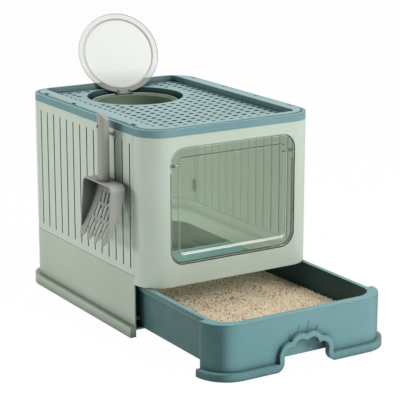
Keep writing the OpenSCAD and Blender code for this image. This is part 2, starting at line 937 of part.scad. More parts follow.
module drawer() {
    face_y1 = seam_front - closed_gap;
    foot_y = face_out + drawer_foot_out;
    color(teal) at_body() translate([0, -drawer_pull, 0]) difference() {
        union() {
            prism(ground_gap, drawer_rim_z)
                wall_band(-face_out, face_t - face_out, -far, face_y1);
            prism(drawer_rim_z - rim_t, drawer_rim_z)
                rim_outline(0);
            prism(drawer_rim_z - lip_h, drawer_rim_z - joint)
                keep(face_y1, far)
                    difference() {
                        rim_outline(0);
                        rim_outline(lip_t);
                    }
            tray_block(tray_t, tray_z, drawer_rim_z);
            prism(ground_gap, drawer_foot_h)
                wall_band(-foot_y, -foot_y + face_t, -far, face_y1);
            prism(drawer_foot_h - face_t, drawer_foot_h)
                wall_band(-foot_y, 0, -far, face_y1);
            prism(ground_gap, drawer_foot_h)
                wall_band(-foot_y, 0, face_y1 - face_t, face_y1);
            upright(-foot_y, foot_y)
                intersection() {
                    offset(r = notch_border, $fn = 48)
                        notch_outline();
                    translate([-half_w, ground_gap])
                        square([body_w, drawer_rim_z]);
                }
        }
        tray_block(0, tray_z + tray_t, drawer_rim_z + over);
        upright(-foot_y - over, foot_y + face_t + 2 * over)
            notch_outline();
        for (mark = marks)
            upright(-face_out - over, over + mark_depth)
                translate([notch_shift + mark[0], lobe_in_z + notch_border + mark[1]])
                    rotate(-mark_lean)
                        polygon(slot(0, mark_w, 0, mark[2], seg_small));
    }
}

// Height of the litter's uneven top above the tray's floor
function litter_top(x, y) =
    let (right = (x + tray_x) / (2 * tray_x), ahead = 1 - y / drawer_d)
    litter_depth + litter_rise * right * right * ahead * ahead
    + litter_swell * (0.6 * sin(3.9 * x + 2.5 * y) + 0.4 * sin(5.2 * y - 2.7 * x));

// Block with the litter's uneven top, wider and longer than the tray
module litter_block() {
    nx = 14;
    ny = 18;
    n = (nx + 1) * (ny + 1);
    row = ny + 1;
    spot = function (i, j) [tray_x * (2 * i / nx - 1), drawer_d * j / ny];
    top = [for (i = [0:nx], j = [0:ny]) let (p = spot(i, j)) [p[0], p[1], litter_top(p[0], p[1])]];
    foot = [for (i = [0:nx], j = [0:ny]) let (p = spot(i, j)) [p[0], p[1], 0]];
    polyhedron(
        points = concat(top, foot),
        faces = concat(
            [for (i = [0:nx - 1], j = [0:ny - 1], h = [0:1]) let (a = i * row + j)
                h == 0 ? [a, a + 1, a + row + 1] : [a, a + row + 1, a + row]],
            [for (i = [0:nx - 1], j = [0:ny - 1], h = [0:1]) let (a = n + i * row + j)
                h == 0 ? [a, a + row + 1, a + 1] : [a, a + row, a + row + 1]],
            [for (i = [0:nx - 1]) let (a = i * row) [a + n, a, a + row, a + row + n]],
            [for (i = [0:nx - 1]) let (a = i * row + ny) [a + row + n, a + row, a, a + n]],
            [for (j = [0:ny - 1]) [j + 1 + n, j + 1, j, j + n]],
            [for (j = [0:ny - 1]) let (a = nx * row + j) [a + n, a, a + 1, a + 1 + n]]
        )
    );
}

module litter_bed() {
    floor_top = tray_z + tray_t;
    color(litter_tan) at_body() translate([0, -drawer_pull, 0]) intersection() {
        tray_block(-slide_gap, floor_top, drawer_rim_z - over);
        translate([0, 0, floor_top])
            litter_block();
    }
}

// Distance from the body to the back of the scoop's floor at a height
function floor_out(z) = basket_gap + basket_sweep * pow((basket_top - z) / basket_l, sweep_power);

// Side view of the floor from z0 to z1, as points with the outward reach first
function floor_line(z0, z1, shift) =
    [for (i = [0:floor_steps]) let (z = z0 + (z1 - z0) * i / floor_steps) [floor_out(z) + shift, z]];

// Elevation of the basket and its teeth
module basket_front() {
    pitch = basket_w / teeth;
    root_z = tip_z + tooth_l;
    union() {
        translate([scoop_y, 0])
            polygon(plan(basket_w / 2, root_z, basket_top, over, basket_r, seg_mid));
        for (i = [0:teeth - 1])
            translate([scoop_y - basket_w / 2 + (i + 0.5) * pitch, 0])
                polygon([[-pitch / 2, root_z + over], [-pitch / 2, root_z], [-1, tip_z], [1, tip_z],
                    [pitch / 2, root_z], [pitch / 2, root_z + over]]);
    }
}

// Elevation of the inside of the basket
module basket_inside() {
    translate([scoop_y, 0])
        polygon(plan(basket_w / 2 - scoop_t, tip_z - over, basket_top - scoop_t,
            over, basket_r - scoop_t, seg_mid));
}

// Three rows of slots, each with one slot more than the row above
module scoop_slots() {
    row_z = [rim_join_z - 4, rim_join_z + 27, rim_join_z + 54];
    row_l = [27, 24, 22];
    for (row = [0:2], i = [0:5 - row])
        polygon(slot(scoop_y + (i - (5 - row) / 2) * slot_pitch, slot_w,
            row_z[row], row_z[row] + row_l[row], seg_small));
}

// Turns a side view drawn as reach and height into a solid across the scoop
module across_scoop(y0, t) {
    translate([-half_w, y0 + t, 0])
        rotate([90, 0, 0])
            linear_extrude(t)
                mirror([1, 0, 0])
                    children();
}

module scoop_basket() {
    rim_out = basket_gap + basket_depth;
    join_out = floor_out(rim_join_z) + scoop_t;
    y0 = scoop_y - basket_w / 2;
    difference() {
        intersection() {
            union() {
                across_scoop(y0, basket_w)
                    polygon(concat(floor_line(rim_join_z, basket_top, 0),
                        [[rim_out, basket_top], [join_out, rim_join_z + rim_splay]]));
                across_scoop(y0, basket_w)
                    polygon(concat(floor_line(tip_z, basket_top, 0), floor_line(basket_top, tip_z, scoop_t)));
            }
            sideways(-left_reach - over, left_reach)
                basket_front();
        }
        intersection() {
            across_scoop(y0, basket_w)
                polygon(concat(floor_line(tip_z, basket_top, scoop_t),
                    [[left_reach, basket_top], [left_reach, tip_z]]));
            sideways(-left_reach - over, left_reach)
                basket_inside();
        }
        sideways(-left_reach - over, left_reach)
            scoop_slots();
    }
}

// Bar with a bowed front and a round end, drawn in by an inset
module handle_bar(x0, inset, z0) {
    half = handle_w / 2 - inset;
    bow = handle_depth - inset;
    intersection() {
        sideways(x0 + inset, handle_depth)
            translate([scoop_y, 0])
                polygon(plan(half, z0, handle_top - inset, over, half - 0.01, seg_mid));
        prism(z0 - over, handle_top + over)
            translate([x0 + handle_depth + inset / 2, scoop_y])
                polygon([for (i = [0:seg]) let (a = 90 + 180 * i / seg)
                    [-(bow + inset / 2) * pow(abs(cos(a)), bow_power), half * sin(a)]]);
    }
}

module scoop_handle() {
    z0 = basket_top - scoop_t;
    x0 = -half_w - handle_gap - handle_depth;
    difference() {
        handle_bar(x0, 0, z0);
        handle_bar(x0, scoop_t, z0 + 2 * scoop_t);
    }
    across_scoop(scoop_y - scoop_t / 2, scoop_t)
        polygon([[basket_gap + scoop_t, basket_top - joint], [handle_gap + joint, basket_top - joint],
            [handle_gap + joint, basket_top + 18]]);
}

// Moves to the middle of the hanging hole, with Z along the peg away from the body
module at_peg() {
    translate([-half_w - hang_out, hang_y, hang_z])
        rotate([0, peg_rise - 90, 0])
            children();
}

module scoop() {
    color(grey) at_body() difference() {
        union() {
            scoop_basket();
            scoop_handle();
        }
        at_peg()
            cylinder(h = 4 * scoop_t, d = peg_d + 2 * hang_clear, center = true);
    }
}

module scoop_peg() {
    peg_l = hang_out / cos(peg_rise);
    color(sage) at_body() union() {
        intersection() {
            at_peg()
                translate([0, 0, -peg_l - peg_d])
                    cylinder(h = peg_l + peg_d + peg_end, d = peg_d);
            translate([-half_w - far, 0, 0])
                cube([far, body_d, far]);
        }
        translate([-half_w - peg_base_t, hang_y, hang_z - hang_out * tan(peg_rise)])
            rotate([0, 90, 0])
                cylinder(h = peg_base_t, r = peg_base_r);
    }
}

// One snap clip: a sunk head and two sprung legs that hook under the ledge
module snap_clip() {
    head_z = rim_z - 6.4;
    leg_z = body_h - 4;
    leg_w = 1.2;
    barb = 0.8;
    translate([-clip_w / 2, -clip_l / 2, head_z])
        cube([clip_w, clip_l, 2.4]);
    for (s = [-1, 1])
        translate([0, s * (clip_l / 2 - 3), 0])
            rotate([90, 0, 0])
                linear_extrude(4, center = true)
                    polygon([[-leg_w / 2, head_z + joint], [leg_w / 2, head_z + joint],
                        [leg_w / 2, leg_z], [-leg_w / 2, leg_z]]);
    translate([-clip_w / 2 - barb, -clip_l / 2 + 1, body_h - fit - 1.6])
        cube([clip_w + 2 * barb, clip_l - 2, 1.6]);
}

module top_clips(s) {
    for (y = clip_places())
        translate([s * (half_w - clip_in), y, 0])
            snap_clip();
}

module top_clips_left() {
    color(teal) at_body() top_clips(-1);
}

module top_clips_right() {
    color(teal) at_body() top_clips(1);
}

// Seam clips: channels pushed over each pair of ribs, on both sides of the body
module seam_clips(rib_y) {
    channel_w = 2 * seam_rib_t + seam_rib_gap + 2 * fit;
    root = wall + fit + lap_t + fit;
    depth = seam_rib_reach + wall - root;
    for (s = [-1, 1], z = seam_clip_z)
        prism(z, z + seam_clip_h)
            difference() {
                translate([s > 0 ? half_w - root - depth - seam_clip_t : root - half_w,
                    rib_y - fit - seam_clip_t])
                    square([depth + seam_clip_t, channel_w + 2 * seam_clip_t]);
                translate([s > 0 ? half_w - root - depth - fit : root - half_w - over, rib_y - fit])
                    square([depth + fit + over, channel_w]);
            }
}

module seam_clips_front() {
    color(sage) at_body() seam_clips(seam_front + lap_w - seam_rib_t);
}

module seam_clips_rear() {
    color(sage) at_body() seam_clips(seam_back - lap_w - seam_rib_gap - seam_rib_t);
}

base_frame();
litter_guard();
front_frame();
side_panel_left();
side_panel_right();
back_panel();
top_frame();
step_plate();
entry_collar();
lid_hinge_pin();
top_lid();
front_door();
door_hinge_pins();
drawer();
litter_bed();
scoop();
scoop_peg();
top_clips_left();
top_clips_right();
seam_clips_front();
seam_clips_rear();
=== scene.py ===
# %% [markdown]
# # A drawer litter box in a white studio
# The real object is a knock-down cat toilet: a sage shell of clipped panels, a teal perforated top with a round
# entry under an open clear lid, a clear window door, a scoop on a peg and a teal drawer full of litter.
# The solid shapes could be made again here, but they come from the CAD model instead, so that every size is the
# packed one. This script gives them their finishes, adds what CAD can't show, such as loose litter, and sets the
# camera and lights of the product picture.

# %% Load the packed model
import math

import bmesh
import bpy
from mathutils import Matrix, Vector, noise
from mathutils.bvhtree import BVHTree


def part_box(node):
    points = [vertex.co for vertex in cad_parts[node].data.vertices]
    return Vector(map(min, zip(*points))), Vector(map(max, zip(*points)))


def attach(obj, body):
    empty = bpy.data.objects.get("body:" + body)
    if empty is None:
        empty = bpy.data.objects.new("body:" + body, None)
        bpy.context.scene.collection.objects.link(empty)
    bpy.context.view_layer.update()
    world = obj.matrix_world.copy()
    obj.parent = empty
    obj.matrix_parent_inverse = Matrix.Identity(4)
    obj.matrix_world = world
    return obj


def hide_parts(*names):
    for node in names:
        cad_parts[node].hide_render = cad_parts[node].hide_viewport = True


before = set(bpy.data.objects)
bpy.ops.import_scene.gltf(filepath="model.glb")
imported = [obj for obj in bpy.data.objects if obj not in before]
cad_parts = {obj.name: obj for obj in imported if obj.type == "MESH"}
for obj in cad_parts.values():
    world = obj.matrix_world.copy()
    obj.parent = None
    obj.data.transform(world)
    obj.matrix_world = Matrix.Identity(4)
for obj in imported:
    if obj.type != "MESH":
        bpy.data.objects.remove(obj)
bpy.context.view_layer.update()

# %% [markdown]
# ## Camera
# The picture was taken with a long lens from the left of the front and a little above, so upright edges stay
# upright and the far corner is nearly as large as the near one. A camera could be aimed with a Track To
# constraint, but a plain rotation from a forward vector needs nothing else in the scene and never changes.

# %% Place the camera
CAMERA_PLACE = Vector((-1.5226, -2.5132, 0.9922))
CAMERA_FORWARD = Vector((0.51024, 0.82226, -0.25213))
LENS_MM = 138.68
SENSOR_MM = 36.0
FAR_CLIP = 100.0

lens = bpy.data.cameras.new("product_camera")
lens.lens = LENS_MM
lens.sensor_width = SENSOR_MM
lens.clip_end = FAR_CLIP
camera = bpy.data.objects.new("product_camera", lens)
camera.location = CAMERA_PLACE
camera.rotation_euler = CAMERA_FORWARD.to_track_quat("-Z", "Y").to_euler()
bpy.context.scene.collection.objects.link(camera)
bpy.context.scene.camera = camera
print("Camera turned", [round(math.degrees(angle), 2) for angle in camera.rotation_euler])


# %% [markdown]
# ## A way to write shaders
# A material is a graph of nodes. It can be wired by hand, socket by socket, but long sums become hard to read.
# Here one small class wraps a socket, so that `tone * 0.2 + 0.9` adds the Math nodes by itself, and one method
# adds any other node from its type, its settings and its sockets.

# %% Wrap a socket so that it works in expressions
class Wire:
    """One output socket of a finish, usable in Python sums."""

    def __init__(self, finish, socket):
        self.finish = finish
        self.socket = socket

    def math(self, operation, first, second):
        return self.finish.add("ShaderNodeMath", {"operation": operation}, {0: first, 1: second})

    def __add__(self, other):
        return self.math("ADD", self, other)

    def __sub__(self, other):
        return self.math("SUBTRACT", self, other)

    def __mul__(self, other):
        return self.math("MULTIPLY", self, other)

    def __pow__(self, other):
        return self.math("POWER", self, other)

    def __radd__(self, other):
        return self.math("ADD", other, self)

    def __rsub__(self, other):
        return self.math("SUBTRACT", other, self)

    def __rmul__(self, other):
        return self.math("MULTIPLY", other, self)


print("Sums that become Math nodes: + - * **")


# %% One material and its nodes
class Graph:
    """A node material: add() puts in any node, and surface() ends it."""

    def __init__(self, name):
        self.material = bpy.data.materials.new(name)
        self.material.use_nodes = True
        self.nodes = self.material.node_tree.nodes
        self.links = self.material.node_tree.links
        self.nodes.clear()

    def add(self, kind, settings=None, sockets=None, output=0):
        node = self.nodes.new(kind)
        for name, value in (settings or {}).items():
            if name == "stops":
                self.set_stops(node.color_ramp, value)
            else:
                setattr(node, name, value)
        for name, value in (sockets or {}).items():
            if isinstance(value, Wire):
                self.links.new(value.socket, node.inputs[name])
            else:
                node.inputs[name].default_value = value
        return Wire(self, node.outputs[output]) if node.outputs else None

    def set_stops(self, ramp, stops):
        while len(ramp.elements) < len(stops):
            ramp.elements.new(0.5)
        for element, (place, shade) in zip(ramp.elements, stops):
            element.position = place
            element.color = shade

    def surface(self, shader):
        self.add("ShaderNodeOutputMaterial", {}, {"Surface": shader})
        return self.material


print("Graph: one method adds any node, one ends the material")


# %% What a finish can ask about a point
class Finish(Graph):
    """The questions that the finishes of this box ask: where a point lies and how its face is turned."""

    def place(self):
        return self.add("ShaderNodeTexCoord", output="Object")

    def axis(self, vector, name):
        return self.add("ShaderNodeSeparateXYZ", {}, {"Vector": vector}, name)

    def vector(self, operation, first, second, output="Vector"):
        sockets = {0: first} if second is None else {0: first, 1: second}
        return self.add("ShaderNodeVectorMath", {"operation": operation}, sockets, output)

    def dot(self, first, second):
        return self.vector("DOT_PRODUCT", first, second, "Value")

    def towards(self, centre):
        """The way from a point of the part to the centre."""
        return self.vector("SUBTRACT", centre, self.place())

    def distance(self, centre, along):
        """How far a point of the part lies from a line through the centre."""
        across = self.vector("CROSS_PRODUCT", self.vector("SUBTRACT", self.place(), centre), along)
        return self.vector("LENGTH", across, None, "Value")

    def flat_normal(self):
        return self.add("ShaderNodeNewGeometry", output="Normal")

    def bevelled(self, radius, samples):
        """The normal as it would be with rounded edges."""
        return self.add("ShaderNodeBevel", {"samples": samples}, {"Radius": radius})

    def grain(self, scale, detail, stretch=None):
        """Noise over the part, finer with a larger scale."""
        where = self.place()
        if stretch:
            where = self.add("ShaderNodeMapping", {}, {"Vector": where, "Scale": stretch})
        sockets = {"Vector": where, "Scale": scale, "Detail": detail}
        return self.add("ShaderNodeTexNoise", {}, sockets, "Fac")

    def ramp(self, value, low, high):
        """0 at low and 1 at high, with a soft start and end. Low may be the larger one."""
        settings = {"interpolation_type": "SMOOTHSTEP"}
        sockets = {"Value": value, "From Min": low, "From Max": high}
        return self.add("ShaderNodeMapRange", settings, sockets, "Result")

    def blend(self, factor, first, second):
        """Two colours mixed. In this node inputs 6 and 7 and output 2 are the colours."""
        settings = {"data_type": "RGBA", "clamp_factor": True}
        return self.add("ShaderNodeMix", settings, {0: factor, 6: first, 7: second}, 2)


print("A finish can ask for:", [name for name in vars(Finish) if not name.startswith("_")])


# %% Turn a picked colour into shader values
SCREEN_STEPS = 255.0
SCREEN_TOE = 10
SCREEN_TOE_SLOPE = 12.92
SCREEN_LIFT = 0.055
SCREEN_POWER = 2.4


def linear(red, green, blue):
    """A colour picked on a screen, 0 to 255, as the linear values that shaders use."""
    shares = [(value, value / SCREEN_STEPS) for value in (red, green, blue)]
    return tuple(share / SCREEN_TOE_SLOPE if value <= SCREEN_TOE
                 else ((share + SCREEN_LIFT) / (1.0 + SCREEN_LIFT)) ** SCREEN_POWER
                 for value, share in shares) + (1.0,)


print("Middle grey 128 is", round(linear(128, 128, 128)[0], 3), "in a shader")


# %% [markdown]
# ## Moulded plastic
# Most of the box is injection-moulded polypropylene with a fine satin face. A flat colour would look like
# paint, so the colour drifts a little over the part, the gloss is uneven and the face has a faint spark-eroded
# grain. A Bevel node turns the normal near an edge without touching the mesh. It rounds the edge, and it also
# tells where the edge is, because there the turned normal leaves the flat one, and there a highlight is painted
# on. An Ambient Occlusion node finds the grooves, holes and corners, where shade is painted in a much deeper
# colour. Faces that look ahead or up have light painted on, lighter than the sides, as in the picture. Stronger
# lamps could do all this, but they would also throw shadows that the picture doesn't have.

# %% Name what all moulded finishes share
UP = (0.0, 0.0, 1.0)
AHEAD = (0.0, -1.0, 0.0)
LEFTWARD = (-1.0, 0.0, 0.0)
BLACK = (0.0, 0.0, 0.0, 1.0)
DRIFT_SCALE = 6.0
DRIFT_SHARE = 0.5
MOTTLE_SCALE = 900.0
MOTTLE_SHARE = 0.12
MOTTLE_HEIGHT = 0.0002
MOTTLE_STRENGTH = 0.06
GLOSS_DRIFT = 0.12
SHEEN_LEVEL = 0.22
# The gain and the open range set the painted highlight on edges; the corner radius and the ahead and up ranges set
# the painted light on faces.
GLINT_GAIN = 4.0
OPEN_RANGE = (0.6, 0.95)
CORNER_RADIUS = 0.007
AHEAD_RANGE = (0.72, 0.97)
UP_RANGE = (0.5, 0.9)
print("Moulded grain:", MOTTLE_SCALE, "per metre,", MOTTLE_HEIGHT * 1000, "mm high")


# %% Write the moulded finish
def face_tone(finish, flat, plain, lit):
    """The colour of a face: painted light where it looks up or ahead, with a soft change round wide corners."""
    corner = finish.bevelled(CORNER_RADIUS, 8)
    ahead = finish.ramp(finish.dot(corner, AHEAD), *AHEAD_RANGE)
    upward = finish.ramp(finish.dot(flat, UP), *UP_RANGE)
    return finish.blend(ahead.math("MAXIMUM", ahead, upward), plain, lit)


def moulded(name, tones, roughness, edge=0.0012, reach=0.02, depth=1.4, hollow=None, glow=None, glow_level=0.0):
    """Satin plastic from four tones: a plain face, a face with painted light, painted shade for hollows and a
    painted highlight for edges.
    """
    plain, lit, painted_shade, glint = (linear(*tone) for tone in tones)
    finish = Finish(name)
    drift = finish.grain(DRIFT_SCALE, 3.0)
    mottle = finish.grain(MOTTLE_SCALE, 1.0)
    flat = finish.flat_normal()
    edges = finish.bevelled(edge, 6)
    openness = finish.add("ShaderNodeAmbientOcclusion", {"samples": 8}, {"Distance": reach}, "AO")
    body = face_tone(finish, flat, plain, lit)
    body = finish.blend((drift - 0.5) * DRIFT_SHARE + mottle * MOTTLE_SHARE, body, glint)
    # Painted highlight: the edge tone along the open edges that the Bevel node finds.
    rim = (1.0 - finish.dot(edges, flat)) * finish.ramp(openness, *OPEN_RANGE)
    shade = finish.blend(rim * GLINT_GAIN, body, glint)
    # Painted shade: the shade tone where the Ambient Occlusion node finds little open space, by the share depth,
    # and where the hollow rule says.
    shade = finish.blend((1.0 - openness) * depth, shade, painted_shade)
    if hollow:
        shade = finish.blend(hollow(finish, flat), shade, painted_shade)
    fine = finish.add("ShaderNodeBump", {}, {"Strength": MOTTLE_STRENGTH, "Distance": MOTTLE_HEIGHT,
                                             "Height": mottle, "Normal": edges})
    sockets = {"Base Color": shade, "Roughness": roughness + (drift - 0.5) * GLOSS_DRIFT, "Normal": fine,
               "Specular IOR Level": SHEEN_LEVEL}
    # Painted glow: emission in the face's own colour where the glow rule says.
    if glow:
        sockets.update({"Emission Color": finish.blend(glow(finish, flat), BLACK, body),
                        "Emission Strength": glow_level})
    return finish.surface(finish.add("ShaderNodeBsdfPrincipled", {}, sockets))


print("Moulded finish ready")

# %% [markdown] ## Where more shade is painted Some places need more painted shade than the Ambient Occlusion node
# finds in its few samples: the walls of the small holes, the gap round the door, and the drawer's far wall.
# Painting an attribute on the mesh could mark them, but the packed mesh stays as it is, so a few rules on
# place and direction do it.

# %% Find where shade is painted
TREAD_TOP = 0.396
HOLE_DEPTHS = (0.0002, 0.0008)
WELL_MIDDLE = (0.0227, 0.2319)
WELL_REACH = 0.128
WELL_SOFTNESS = 0.002
WELL_RELIEF = 0.35
GAP_DEPTHS = (0.0008, 0.0022)
GAP_MARGINS = (0.006, 0.004)
FAR_WALL_SHADE = 0.75
FAR_WALL_WIDTH = 0.04


def under_treads(finish, flat):
    """Painted shade on the walls of the holes and of the wide well, below the face of the step plate. The well
    gets less.
    """
    height = finish.axis(finish.place(), "Z")
    below = finish.ramp(height, *(TREAD_TOP - depth for depth in HOLE_DEPTHS))
    away = finish.distance((*WELL_MIDDLE, 0.0), UP)
    well = finish.ramp(away, WELL_REACH + WELL_SOFTNESS, WELL_REACH)
    return below * (1.0 - well * WELL_RELIEF)


def window_gap(finish, flat):
    """Painted shade on the walls of the window opening, seen as a thin dark line round the door."""
    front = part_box("front_frame")[0][1]
    inside = finish.ramp(finish.axis(finish.place(), "Y"), *(front + depth for depth in GAP_DEPTHS))
    low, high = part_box("front_door")
    for name, near, far in (("X", low[0], high[0]), ("Z", low[2], high[2])):
        along = finish.axis(finish.place(), name)
        inside = inside * finish.ramp(along, *(near - margin for margin in GAP_MARGINS))
        inside = inside * finish.ramp(along, *(far + margin for margin in GAP_MARGINS))
    return inside


def far_wall(finish, flat):
    """The inside of the drawer's far wall, which lies in the shade."""
    low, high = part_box("drawer")
    leftward = finish.ramp(finish.dot(flat, LEFTWARD), 0.4, 0.9)
    beyond = finish.ramp(finish.axis(finish.place(), "X"), (low[0] + high[0]) / 2.0, high[0] - FAR_WALL_WIDTH)
    return leftward * beyond * FAR_WALL_SHADE


print("Well middle, mm:", [round(value * 1000, 1) for value in WELL_MIDDLE])

# %% Find the places where a faint glow is painted
BOX_MIDDLE = tuple((low + high) / 2.0 for low, high in zip(*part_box("base_frame")))
INWARD_RANGE = (-0.17, -0.02)
DRAWER_REAR = (0.01, 0.045)


def inner_faces(finish, flat):
    """Faces that look towards the middle of the box, where a painted glow stands in for light through the thin
    panels.
    """
    return finish.ramp(finish.dot(flat, finish.towards(BOX_MIDDLE)), *INWARD_RANGE)


def drawer_rear(finish, flat):
    """The rear of the drawer, where a painted glow stands for the light through the window that reaches it at
    rest.
    """
    return finish.ramp(finish.axis(finish.place(), "Y"), *DRAWER_REAR)


print("Box middle, mm:", [round(value * 1000, 1) for value in BOX_MIDDLE])

# %% [markdown]
# ## The tones of the mouldings
# Each finish has four tones, as they were judged on the picture, in this order: the plain face, the face with
# painted light, the painted shade of hollows and the painted highlight of edges. The sage shell, its base and its
# front differ by a few steps: the base is painted darker, as shade low down, and the front's shade tone is near
# black, as painted shade in the gap round the door.

# %% Make the moulded finishes
SAGE = ((190, 204, 188), (196, 210, 196), (92, 108, 92), (224, 234, 224))
# The front's shade tone is near black: painted shade in the gap round the door.
FRONT = ((190, 204, 188), (196, 210, 196), (34, 42, 36), (224, 234, 224))
# The base is painted darker than the shell, as shade low down.
BASE = ((175, 187, 171), (192, 206, 190), (86, 102, 84), (218, 228, 216))
TEAL = ((98, 138, 140), (115, 155, 159), (20, 44, 44), (178, 206, 207))
# The treads' edge tone is dark: painted shade round the holes, which makes them look larger.
TREADS = ((100, 138, 138), (150, 180, 180), (10, 30, 30), (84, 116, 116))
# The tray's plain tone is much darker than its lit one: painted shade on the drawer's sides and corners, with
# painted light on its front.
TRAY = ((62, 98, 97), (110, 154, 157), (6, 42, 40), (172, 204, 206))
# The collar is a darker sage: painted shade in the deep collar, which the lamps hardly reach.
COLLAR = ((98, 114, 94), (112, 128, 108), (44, 58, 44), (150, 162, 144))
LIP = ((190, 202, 186), (208, 218, 204), (90, 104, 88), (226, 234, 222))
GREY = ((152, 155, 147), (162, 164, 157), (50, 52, 48), (206, 208, 202))
# Painted glow: light through the thin far panels, and through the window on the drawer's rear.
PANEL_GLOW = 0.34
DRAWER_GLOW = 0.8

sage = moulded("sage_shell", SAGE, 0.46)
base = moulded("sage_base", BASE, 0.46)
far_side = moulded("sage_far_side", SAGE, 0.46, glow=inner_faces, glow_level=PANEL_GLOW)
front = moulded("sage_front", FRONT, 0.46, reach=0.01, depth=0.5, hollow=window_gap)
teal = moulded("teal_satin", TEAL, 0.42, reach=0.045, depth=1.5)
treads = moulded("teal_treads", TREADS, 0.42, edge=0.0006, reach=0.03, hollow=under_treads)
tray = moulded("teal_tray", TRAY, 0.42, edge=0.0018, depth=0.8, hollow=far_wall, glow=drawer_rear,
               glow_level=DRAWER_GLOW)
collar = moulded("shaded_collar", COLLAR, 0.30, reach=0.03)
lip = moulded("pale_lip", LIP, 0.34, reach=0.01)
grey = moulded("grey_scoop", GREY, 0.44, edge=0.0008, reach=0.04)
for material in (sage, base, far_side, front, teal, treads, tray, collar, lip, grey):
    print(material.name, len(material.node_tree.nodes), "nodes")

# %% [markdown]
# ## Clear plastic
# The window and the lid are clear, the lid with a milky middle. Real transmission would be one way, but the
# light then has to find its way through two faces, which is slow and noisy in a small render. Here a Mix Shader
# lets light straight through a tinted Transparent shader and adds a little satin body with a faint painted glow.
# A Layer Weight and a Bevel make the plastic denser where it is seen edge on and along its edges, as real clear
# parts look, and along the edges a line is painted: a highlight on the window and shade on the lid.

# %% Name what the clear finishes share
TURN_BLEND = 0.3
TURN_POWER = 2.0
CLOUD_SCALE = 9.0
CLOUD_SHARE = 0.02
CLOUD_GLOSS = 0.04
RIM_RANGE = (0.004, 0.09)
# Painted light: the glow of the painted edge line and of the body.
RIM_GLOW = 0.5
BODY_GLOW = 0.12
MOST_BODY = 0.96
MIRROR_TONE = (0.6, 0.6, 0.6, 1.0)
MIRROR_INDEX = 1.45
# Painted shade: the lid turns greyer towards its lower end.
LOW_GREY = linear(196, 200, 194)
LOW_BLEND = 0.75
MILK_SHARE = 0.48
LOW_SHARE = 0.30
print("Clear plastic bends light by", MIRROR_INDEX)


# %% Write the clear finish
def clear_plastic(name, tint, tones, shares, roughness, edge, catch=None, milk=None):
    """Clear moulding: thin where it faces the eye, denser where it turns away, with a line painted along its edges
    as highlight or shade, by its tone.
    """
    plain, bright, line = (linear(*tone) for tone in tones)
    body_share, edge_share, line_share = shares
    finish = Finish(name)
    turned = finish.add("ShaderNodeLayerWeight", {}, {"Blend": TURN_BLEND}, "Facing")
    edges = finish.bevelled(edge, 6)
    flat = finish.flat_normal()
    cloud = finish.grain(CLOUD_SCALE, 2.0)
    rim = finish.ramp(1.0 - finish.dot(edges, flat), *RIM_RANGE)
    shade = plain
    share = body_share + (turned ** TURN_POWER) * (edge_share - body_share) + cloud * CLOUD_SHARE
    if milk:
        middle, low = milk(finish)
        share = share + middle * MILK_SHARE + low * LOW_SHARE
        shade = finish.blend(middle, shade, bright)
        shade = finish.blend(low * LOW_BLEND, shade, LOW_GREY)
    # Painted edge line: highlight on the window, shade on the lid.
    shade = finish.blend(rim, shade, line)
    share = share + rim * line_share
    # Painted highlight where the catch rule says.
    if catch:
        light = catch(finish, flat)
        share = share + light
        shade = finish.blend(light, shade, bright)
    clear = finish.add("ShaderNodeBsdfTransparent", {}, {"Color": linear(*tint)})
    # Painted glow: a faint share of the body's colour, and the painted edge line.
    glow = finish.blend(rim * RIM_GLOW, finish.blend(1.0 - BODY_GLOW, shade, BLACK), line)
    sockets = {"Base Color": shade, "Roughness": roughness + cloud * CLOUD_GLOSS, "Normal": edges,
               "Emission Color": glow, "Emission Strength": 1.0}
    satin = finish.add("ShaderNodeBsdfPrincipled", {}, sockets)
    share = share.math("MINIMUM", share, MOST_BODY)
    mixed = finish.add("ShaderNodeMixShader", {}, {0: share, 1: clear, 2: satin})
    gloss = finish.add("ShaderNodeBsdfGlossy", {}, {"Color": MIRROR_TONE, "Roughness": roughness})
    mirror = finish.add("ShaderNodeFresnel", {}, {"IOR": MIRROR_INDEX})
    return finish.surface(finish.add("ShaderNodeMixShader", {}, {0: mirror, 1: mixed, 2: gloss}))


print("Clear finish ready")

# %% [markdown]
# ## The window's bright step and the lid's milky middle
# The door is stepped, and its lower slope gets a painted white highlight, because it looks up into the lamps. The
# lid's middle is frosted inside a clear border, and painted greyer towards its lower end, as shade. Both could be
# separate meshes, but a rule on direction and on the distance from the lid's own axis keeps each of them one
# moulding.

# %% Find the step and the milky middle
CATCH_RANGE = (0.3, 0.6)
CATCH_SHARE = 0.55
CATCH_FADE = 0.02
LID_PANE = 0.0745
PANE_SOFTNESS = 0.0006
LOW_RANGE = (-0.02, -0.065)


def step_light(finish, flat):
    """The lower slope of the window door, which looks up and gets a painted highlight for the light it catches."""
    low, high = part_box("front_door")
    middle = (low[2] + high[2]) / 2.0
    below = finish.ramp(finish.axis(finish.place(), "Z"), middle + CATCH_FADE, middle - CATCH_FADE)
    return finish.ramp(finish.dot(flat, UP), *CATCH_RANGE) * below * CATCH_SHARE


def lid_frame():
    """The middle of the open lid and the direction in which its faces look."""
    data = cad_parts["top_lid"].data
    widest = max(data.polygons, key=lambda face: face.area)
    low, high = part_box("top_lid")
    return (Vector(low) + Vector(high)) / 2.0, widest.normal.copy()


def lid_middle(finish):
    """The milky middle of the lid, inside its clear border, and its lower end, which is painted greyer as shade.
    """
    centre, along = lid_frame()
    away = finish.distance(centre, along)
    milky = finish.ramp(away, LID_PANE + PANE_SOFTNESS, LID_PANE - PANE_SOFTNESS)
    height = finish.axis(finish.place(), "Z")
    return milky, finish.ramp(height, *(centre.z + step for step in LOW_RANGE))


print("Lid middle, mm:", [round(value * 1000, 1) for value in lid_frame()[0]])

